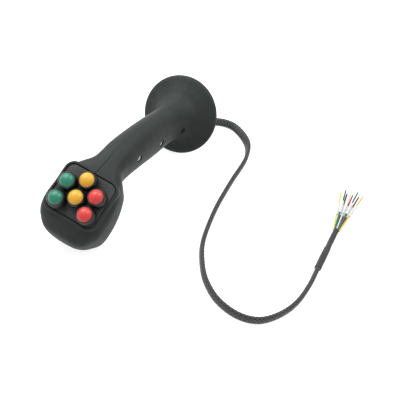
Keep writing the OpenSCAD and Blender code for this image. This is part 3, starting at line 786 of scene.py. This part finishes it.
def voxel_union(name, parts):
    """One solid of several, with the seams between them faired."""
    bm = bmesh.new()
    for part in parts:
        bm.from_mesh(part.data)
        bpy.data.objects.remove(part)
    obj = from_bmesh(name, bm)
    remesh = obj.modifiers.new("remesh", "REMESH")
    remesh.mode = "VOXEL"
    remesh.voxel_size = VOXEL
    remesh.use_smooth_shade = True
    fair = obj.modifiers.new("fair", "SMOOTH")
    fair.factor = 0.5
    fair.iterations = FAIRING
    bpy.context.view_layer.update()
    apply_modifiers(obj)
    return obj


def screw_frames():
    """A frame along +X for each screw that holds the shells, in the parting plane."""
    frames = []
    for points in islands("shell_screws"):
        _, y, z = (points.min(0) + points.max(0)) / 2
        frames.append(axes_frame(Vector((0, y, z)), Vector((0, 1, 0)), Vector((0, 0, 1)), RIGHT))
    return frames


def make_body():
    """The whole moulded body with its hollow, pocket and holes, before it is parted."""
    outer = skin("outer", 0, HEAD_END)
    rim = plate_block("rim", [(RIM_RISE - RIM_DEPTH, RIM_W), (RIM_RISE - RIM_EDGE, RIM_W),
                              (RIM_RISE, RIM_W - RIM_EDGE)])
    body = voxel_union("body", [outer, rim])
    combine(body, skin("hollow", CAVITY_START, CAVITY_END, WALL))
    combine(body, plate_block("pocket", [(-PLATE_T, PLATE_GAP), (RIM_RISE - POCKET_EDGE, PLATE_GAP),
                                         (RIM_RISE + POCKET_REACH, PLATE_GAP + POCKET_EDGE + POCKET_REACH)]))
    combine(body, plate_block("well", [(-PLATE_T - WELL_DEPTH, -LEDGE), (-PLATE_T + OVERCUT, -LEDGE)]))
    combine(body, cylinder("cover_seat", UPRIGHT, COVER_SEAT_R, -OVERCUT, COVER_SEAT_H, COVER_SEAT_SIDES))
    combine(body, cylinder("channel", UPRIGHT, CHANNEL_R, -OVERCUT, CHANNEL_H, CHANNEL_SIDES))
    for place in screw_frames():
        combine(body, cylinder("boss", place, SCREW_BOSS_R, -SCREW_BOSS_H, SCREW_BOSS_H), "UNION")
        combine(body, cylinder("head_hole", place, SCREW_HOLE_R, SCREW_SEAT, SCREW_SEAT + SCREW_HOLE_L))
        combine(body, cylinder("shank_hole", place, SCREW_SHANK_R, SCREW_SHANK_END, SCREW_SEAT + OVERCUT))
    for vert in body.data.vertices:
        vert.co.z = max(vert.co.z, 0)     # the head rests on the bench
    return body


def groove_depth(vert):
    """Depth of the groove at a vertex of the parting plane: none inside, most where grip meets rim."""
    middle = min(SPINE_POINTS, key=lambda p: (p - vert.co).length)
    along = (PLATE_TOP_INVERSE @ vert.co).y - PLATE_L / 2
    if vert.normal.dot(vert.co - middle) < 0 or along < 0:
        return 0
    return GROOVE_DEPTH * max(0, 1 - along / GROOVE_LENGTH) ** 0.5


def shell_skin(name, body, side):
    """One shell of the body, with its half of the shallow V groove along the parting line."""
    bm = bmesh.new()
    bm.from_mesh(body.data)
    for x in (-GROOVE_HALF, 0, GROOVE_HALF):
        bmesh.ops.bisect_plane(bm, geom=bm.verts[:] + bm.edges[:] + bm.faces[:], dist=SNAP,
                               plane_co=(x, 0, 0), plane_no=(1, 0, 0))
    bm.normal_update()
    flat = [vert for vert in bm.verts if abs(vert.co.x) < SNAP]
    for vert, depth in [(vert, groove_depth(vert)) for vert in flat]:
        vert.co -= Vector((0, vert.normal.y, vert.normal.z)) * depth
    away = [face for face in bm.faces if face.calc_center_median().x * side < 0]
    bmesh.ops.delete(bm, geom=away, context="FACES")
    rim = [edge for edge in bm.edges if edge.is_boundary]
    bmesh.ops.triangle_fill(bm, edges=rim, use_beauty=True)
    for vert in bm.verts:
        if abs(vert.co.x) < SNAP:
            vert.co.x = side * PARTING_GAP
    return from_bmesh(name, bm)


whole_body = make_body()
finish_piece(shell_skin("left_shell_skin", whole_body, -1), HOUSING, ["left_shell"])
finish_piece(shell_skin("right_shell_skin", whole_body, 1), HOUSING, ["right_shell"])
bpy.data.objects.remove(whole_body)


# ---- mechanical pieces -------------------------------------------------------------------------
# Above the plate the buttons are a little wider than their CAD solids: radius there, radius here.
WIDEN_FROM = (0, 5.5 * MM, 6.3 * MM, 7.5 * MM)
WIDEN_TO = (0, 6.05 * MM, 6.6 * MM, 7.75 * MM)
UNDER_PLATE_TOP = -0.01 * MM        # points lower than this stay where they are
FLAT_ANGLE = math.radians(0.5)      # faces that meet flatter than this become one
BUTTON_FRAMES = [plate_frame("cap_" + b) for b in BUTTONS]


def widen_buttons(bm):
    """Moves the points above the face plate away from the axis of their button."""
    for vert in bm.verts:
        if (PLATE_TOP_INVERSE @ vert.co).z < UNDER_PLATE_TOP:
            continue
        place = min(BUTTON_FRAMES, key=lambda m: (m.inverted() @ vert.co).xy.length)
        local = place.inverted() @ vert.co
        radius = local.xy.length
        if radius > SNAP:
            local.xy *= float(np.interp(radius, WIDEN_FROM, WIDEN_TO)) / radius
        vert.co = place @ local


def dressed(node, material, bevel=0.0, sharp=30, widen=False):
    """A copy of a CAD node with bevelled edges and its finish."""
    bm = bmesh.new()
    bm.from_mesh(NODES[node].data)
    bmesh.ops.remove_doubles(bm, verts=bm.verts, dist=SNAP)
    if widen:
        widen_buttons(bm)
    bmesh.ops.dissolve_limit(bm, angle_limit=FLAT_ANGLE, verts=bm.verts, edges=bm.edges)
    if bevel:
        edges = [e for e in bm.edges if len(e.link_faces) == 2 and e.calc_face_angle(0) > math.radians(sharp)]
        bmesh.ops.bevel(bm, geom=edges, offset=bevel, segments=2, profile=0.5, affect="EDGES",
                        clamp_overlap=True)
    finish_piece(from_bmesh(node + "_dressed", bm, sharp), material, [node])


def coat(node, material):
    """Gives a CAD node that stays as it is its finish."""
    mesh = NODES[node].data
    mesh.materials.clear()
    mesh.materials.append(material)


dressed("face_plate", PLATE, 0.3 * MM)
dressed("shell_screws", ZINC_PAINTED_GLINT, 0.25 * MM)
dressed("base_cover", COVER, 0.25 * MM)
dressed("base_screws", ZINC_PAINTED_GLINT, 0.2 * MM)
dressed("lever_socket", SOCKET_STEEL, 0.3 * MM)
dressed("cable_grommet", RUBBER, 0.3 * MM)
dressed("button_seals", SEAL, widen=True)
for b in BUTTONS:
    dressed("body_" + b, COLLAR, widen=True)
    dressed("cap_" + b, CAPS[b.split("_")[0]], 0.15 * MM, widen=True)

coat("button_terminals", BRASS)
coat("inner_harness", JACKET)
for b in BUTTONS:
    coat("spring_" + b, SPRING_STEEL)
    coat("nut_" + b, ZINC_PAINTED_GLINT)


# ---- floor and light ---------------------------------------------------------------------------
FLOOR_SIZE = 6
FLOOR_GLOW = 0.8
FLOOR_COLOR = (0.8, 0.8, 0.8, 1)
WORLD_LIGHT = 0.44
GRIP_MIDDLE = Vector((0, 0, 0.04))
LAMPS = {"key": (Vector((-0.55, 0.1, 0.7)), 0.6, 5.5),        # place, size in metres, power in watts
         "gloss": (Vector((0.2, 0.3, 0.9)), 0.3, 3)}


def background_rays(tree):
    """A socket that is 1 for the rays that show the background: camera, glossy and transmission rays."""
    path = tree.nodes.new("ShaderNodeLightPath")
    seen = path.outputs["Is Camera Ray"]
    for kind in ("Is Glossy Ray", "Is Transmission Ray"):
        most = tree.nodes.new("ShaderNodeMath")
        most.operation = "MAXIMUM"
        tree.links.new(seen, most.inputs[0])
        tree.links.new(path.outputs[kind], most.inputs[1])
        seen = most.outputs[0]
    return seen


def make_floor():
    """A white floor that keeps the object's shadow."""
    mesh = bpy.data.meshes.new("floor")
    h = FLOOR_SIZE / 2
    mesh.from_pydata([(-h, -h, 0), (h, -h, 0), (h, h, 0), (-h, h, 0)], [], [(0, 1, 2, 3)])
    floor = piece("floor", mesh)
    n = Nodes("floor_white")
    n.set(Roughness=1.0, Base_Color=FLOOR_COLOR, Specular_IOR_Level=0, Emission_Color=WHITE)
    glow = n.spread(background_rays(n.tree), 0, FLOOR_GLOW, start=0, end=1)
    n.link(glow, n.shader.inputs["Emission Strength"])
    mesh.materials.append(n.material)


def make_world():
    """An even light on the object, in front of a white background."""
    world = bpy.data.worlds.new("studio")
    bpy.context.scene.world = world
    world.use_nodes = True
    tree = world.node_tree
    background = tree.nodes["Background"]
    background.inputs["Color"].default_value = WHITE
    strength = tree.nodes.new("ShaderNodeMapRange")
    strength.inputs["To Min"].default_value = WORLD_LIGHT
    strength.inputs["To Max"].default_value = 1
    tree.links.new(background_rays(tree), strength.inputs["Value"])
    tree.links.new(strength.outputs["Result"], background.inputs["Strength"])


def make_lamp(name, place, size, power):
    """A square lamp that shines on the grip."""
    data = bpy.data.lights.new(name, "AREA")
    data.size = size
    data.energy = power
    lamp = bpy.data.objects.new(name, data)
    lamp.matrix_world = looking(place, GRIP_MIDDLE)
    bpy.context.scene.collection.objects.link(lamp)


make_floor()
make_world()
for name, settings in LAMPS.items():
    make_lamp(name, *settings)
bpy.context.scene.view_settings.view_transform = "Standard"
